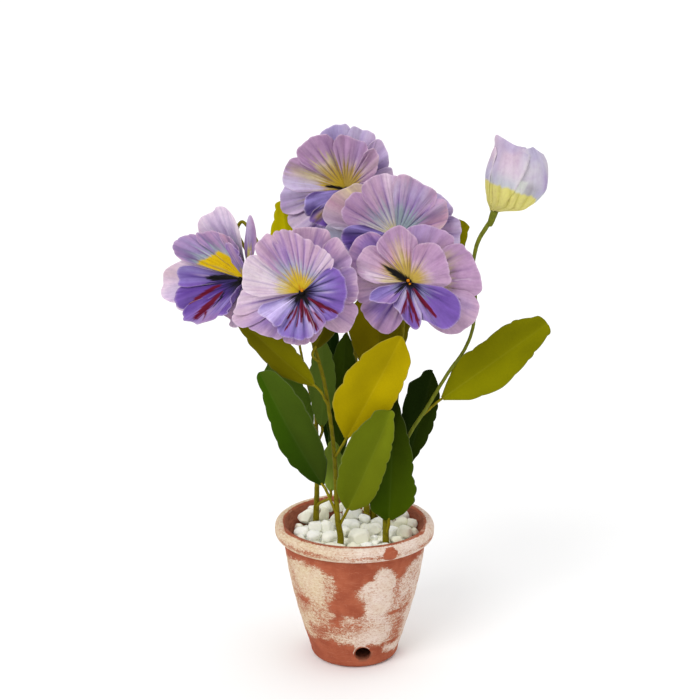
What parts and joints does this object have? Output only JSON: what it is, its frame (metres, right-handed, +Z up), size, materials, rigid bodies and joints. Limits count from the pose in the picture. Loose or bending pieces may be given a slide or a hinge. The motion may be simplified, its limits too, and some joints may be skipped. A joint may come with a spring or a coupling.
{
  "type": "potted pansy planter",
  "caption": "Handmade pansies of pleated paper on taped wire stems with paper leaves and a bud, in a lime-washed clay pot topped with pebbles.",
  "frame": {"origin": "middle of the pot's foot, on the surface it stands on", "axes": "+Z up, -Y the front, +X to the right seen from the front"},
  "size_m": [0.2653, 0.1314, 0.3785],
  "materials": {
    "terracotta": "matt, unglazed, washed with worn cream limewash",
    "foam": "matt",
    "pebble": "smooth, slightly polished",
    "stem_tape": "matt, waxy, wound tape",
    "petal_back": "matt, finely pleated",
    "petal_fan": "matt, finely pleated",
    "petal_lip": "matt, finely pleated",
    "bud_paper": "matt, finely pleated",
    "leaf_dark": "matt",
    "leaf_very_dark": "matt",
    "leaf_green": "matt",
    "leaf_light": "matt",
    "leaf_olive": "matt",
    "leaf_yellow": "matt"
  },
  "bodies": {
    "root": {"bud_petal_back": "bud_paper", "bud_petal_front": "bud_paper", "bud_petal_inner": "bud_paper", "foam_plug": "foam", "front_flower_back_lower": "petal_back", "front_flower_back_upper": "petal_back", "front_flower_fan_left": "petal_fan", "front_flower_fan_top": "petal_fan", "front_flower_lip": "petal_lip", "leaf_bright_green": "leaf_green", "leaf_dark_front_right": "leaf_dark", "leaf_dark_large_left": "leaf_dark", "leaf_dark_olive_high": "leaf_dark", "leaf_light_green_front": "leaf_light", "leaf_light_green_low": "leaf_light", "leaf_mid_green_left": "leaf_green", "leaf_olive_behind_right_flower": "leaf_olive", "leaf_olive_far_right": "leaf_olive", "leaf_olive_high_right": "leaf_olive", "leaf_olive_large_left": "leaf_olive", "leaf_olive_small": "leaf_olive", "leaf_very_dark_left": "leaf_very_dark", "leaf_very_dark_middle": "leaf_very_dark", "leaf_very_dark_right": "leaf_very_dark", "leaf_yellow": "leaf_yellow", "leaf_yellow_green_high": "leaf_yellow", "left_flower_back_lower": "petal_back", "left_flower_back_right": "petal_back", "left_flower_back_upper": "petal_back", "left_flower_fan_right": "petal_fan", "left_flower_fan_upper": "petal_fan", "left_flower_lip": "petal_lip", "middle_flower_back_left": "petal_back", "middle_flower_back_right": "petal_back", "middle_flower_fan_left": "petal_fan", "middle_flower_fan_right": "petal_fan", "middle_flower_lip": "petal_lip", "pebble_1": "pebble", "pebble_2": "pebble", "pebble_3": "pebble", "pebble_4": "pebble", "pebble_5": "pebble", "pebble_6": "pebble", "pebble_bed": "pebble", "pot": "terracotta", "right_flower_back_left": "petal_back", "right_flower_back_right": "petal_back", "right_flower_fan_left": "petal_fan", "right_flower_fan_right": "petal_fan", "right_flower_lip": "petal_lip", "stem_back_left": "stem_tape", "stem_back_right": "stem_tape", "stem_front": "stem_tape", "stem_left": "stem_tape", "stem_right": "stem_tape", "top_flower_back_lower": "petal_back", "top_flower_back_upper": "petal_back", "top_flower_fan_left": "petal_fan", "top_flower_fan_right": "petal_fan", "top_flower_lip": "petal_lip"}
  },
  "joints": []
}
